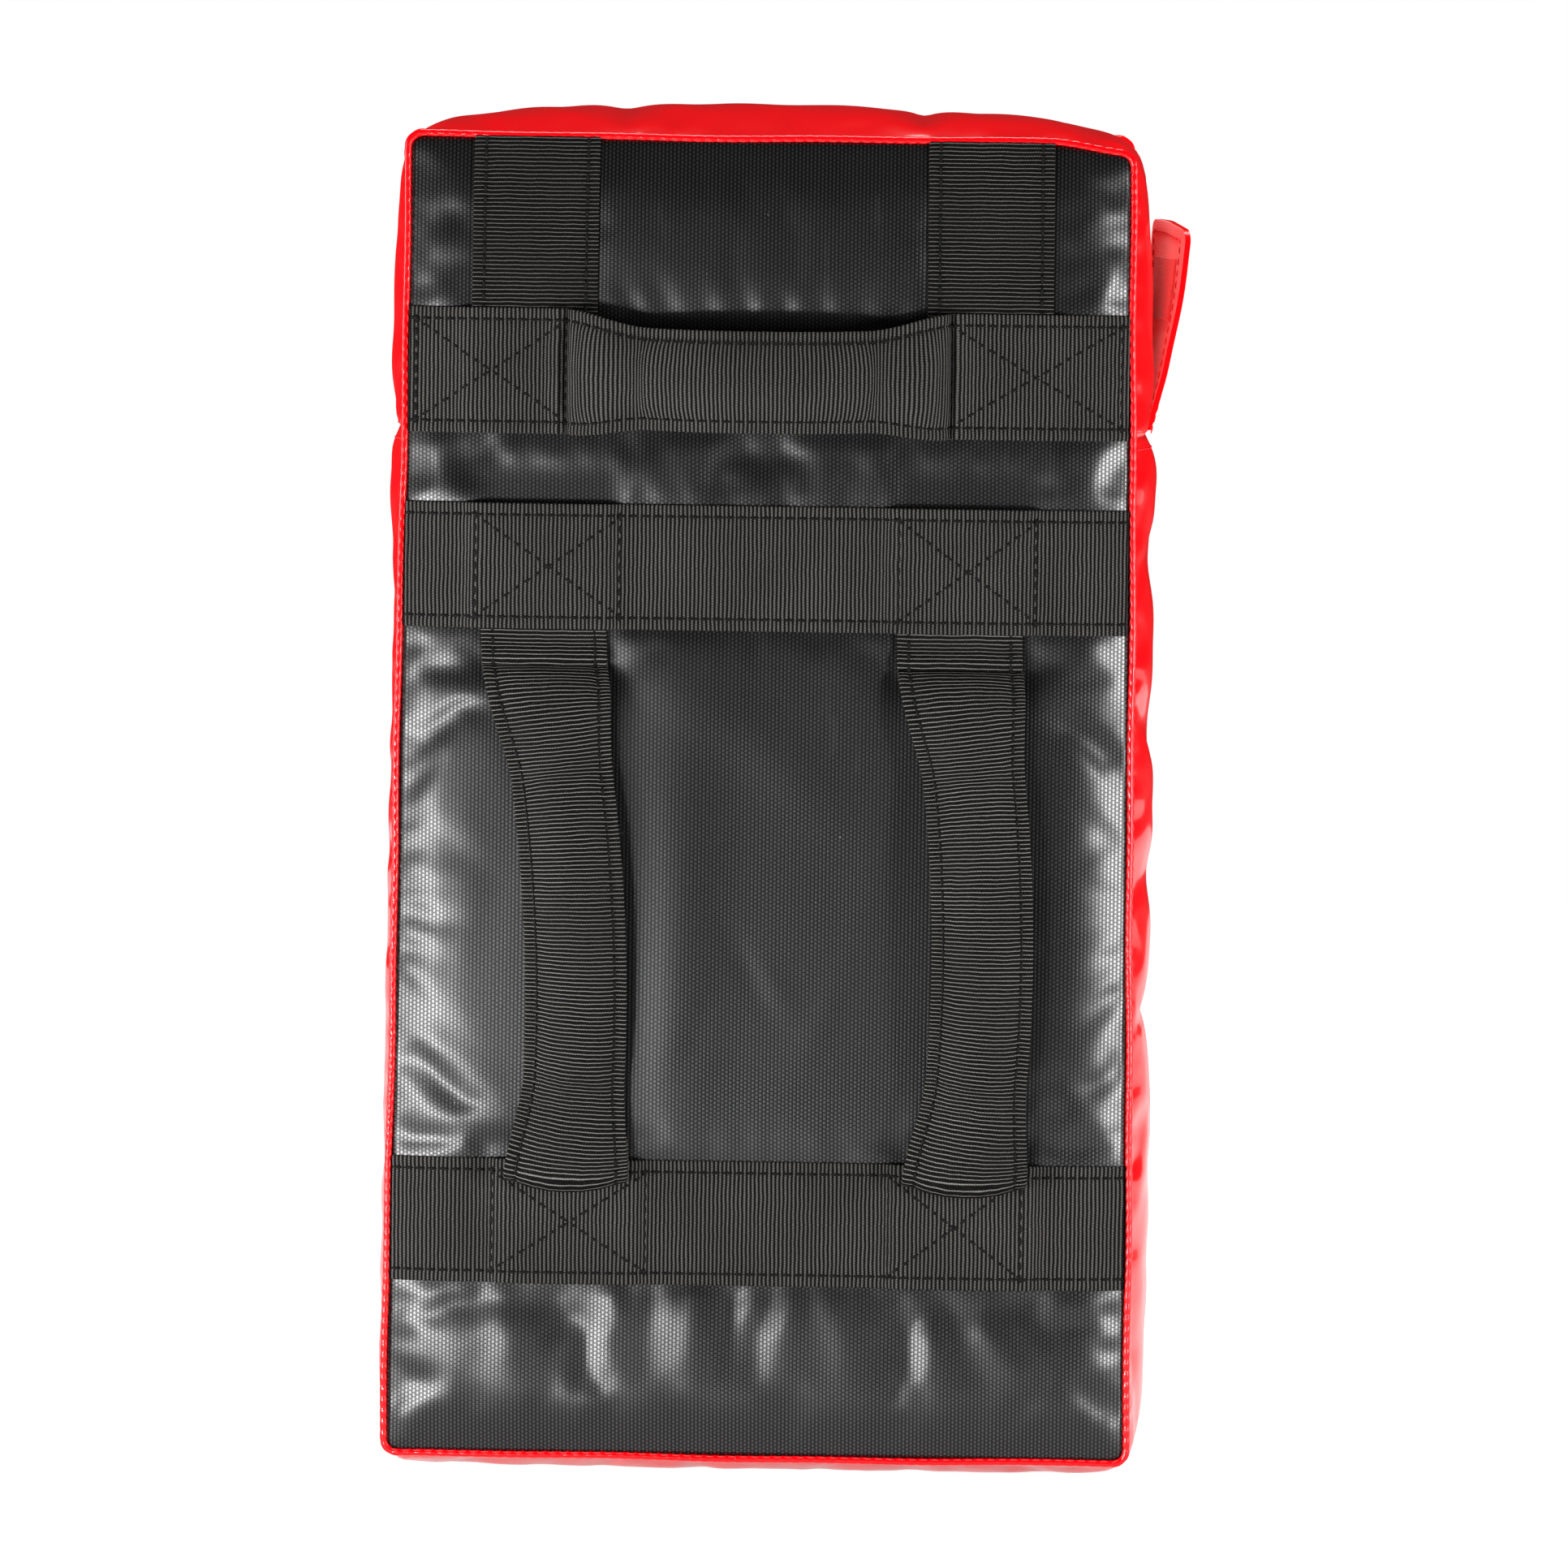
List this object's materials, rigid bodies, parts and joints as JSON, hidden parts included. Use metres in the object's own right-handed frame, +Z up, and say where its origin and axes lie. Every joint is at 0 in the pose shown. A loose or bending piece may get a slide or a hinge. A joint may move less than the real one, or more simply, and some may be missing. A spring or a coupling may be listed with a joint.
{
  "type": "strike shield",
  "caption": "Rectangular padded kick shield with a sewn vinyl cover, webbing bands, upright grip handles, a cross handle and a side closure flap.",
  "frame": {"origin": "middle of the flat base that the shield stands on", "axes": "+Z up along the shield's length, +Y towards the struck front, -Y towards the holder, +X to the right as the holder's side is looked at"},
  "size_m": [0.3197, 0.1716, 0.5479],
  "materials": {
    "black_vinyl": "embossed gloss vinyl",
    "red_vinyl": "gloss vinyl",
    "foam": "open cell foam",
    "firm_foam": "closed cell foam",
    "black_webbing": "ribbed webbing",
    "hook_and_loop": "hook and loop tape"
  },
  "bodies": {
    "shield": {"back_panel": "black_vinyl", "front_panel": "red_vinyl", "top_gusset": "red_vinyl", "bottom_gusset": "red_vinyl", "back_welt": "red_vinyl", "front_welt": "red_vinyl", "core_foam": "foam", "back_foam": "foam", "strike_foam": "firm_foam", "left_top_strap": "black_webbing", "right_top_strap": "black_webbing", "upper_strap_left": "black_webbing", "upper_strap_right": "black_webbing", "middle_strap": "black_webbing", "lower_strap": "black_webbing", "left_handle_upper_end": "black_webbing", "left_handle_lower_end": "black_webbing", "right_handle_upper_end": "black_webbing", "right_handle_lower_end": "black_webbing", "flap_loop_tape": "hook_and_loop"},
    "left_handle": {"left_handle_webbing": "black_webbing", "left_handle_lining": "black_webbing", "left_handle_core": "firm_foam"},
    "right_handle": {"right_handle_webbing": "black_webbing", "right_handle_lining": "black_webbing", "right_handle_core": "firm_foam"},
    "top_handle": {"top_handle_webbing": "black_webbing", "top_handle_lining": "black_webbing", "top_handle_core": "firm_foam"},
    "flap": {"closure_flap": "red_vinyl", "flap_hook_tape": "hook_and_loop"}
  },
  "joints": [
    {"name": "left_handle_swing", "type": "hinge", "parent": "shield", "child": "left_handle", "pos_m": [-0.082, -0.07, 0.22075], "axis": [-0.0558, 0, 0.9984], "range_deg": [-30, 24]},
    {"name": "right_handle_swing", "type": "hinge", "parent": "shield", "child": "right_handle", "pos_m": [0.0795, -0.07, 0.22075], "axis": [-0.014, 0, 0.9999], "range_deg": [-30, 24]},
    {"name": "top_handle_swing", "type": "hinge", "parent": "shield", "child": "top_handle", "pos_m": [-0.004, -0.07, 0.443], "axis": [1, 0, 0], "range_deg": [-30, 28]},
    {"name": "flap_hinge", "type": "hinge", "parent": "shield", "child": "flap", "pos_m": [0.1542, 0.022, 0.4203], "axis": [0, 1, 0], "range_deg": [-6.5, 150]}
  ]
}
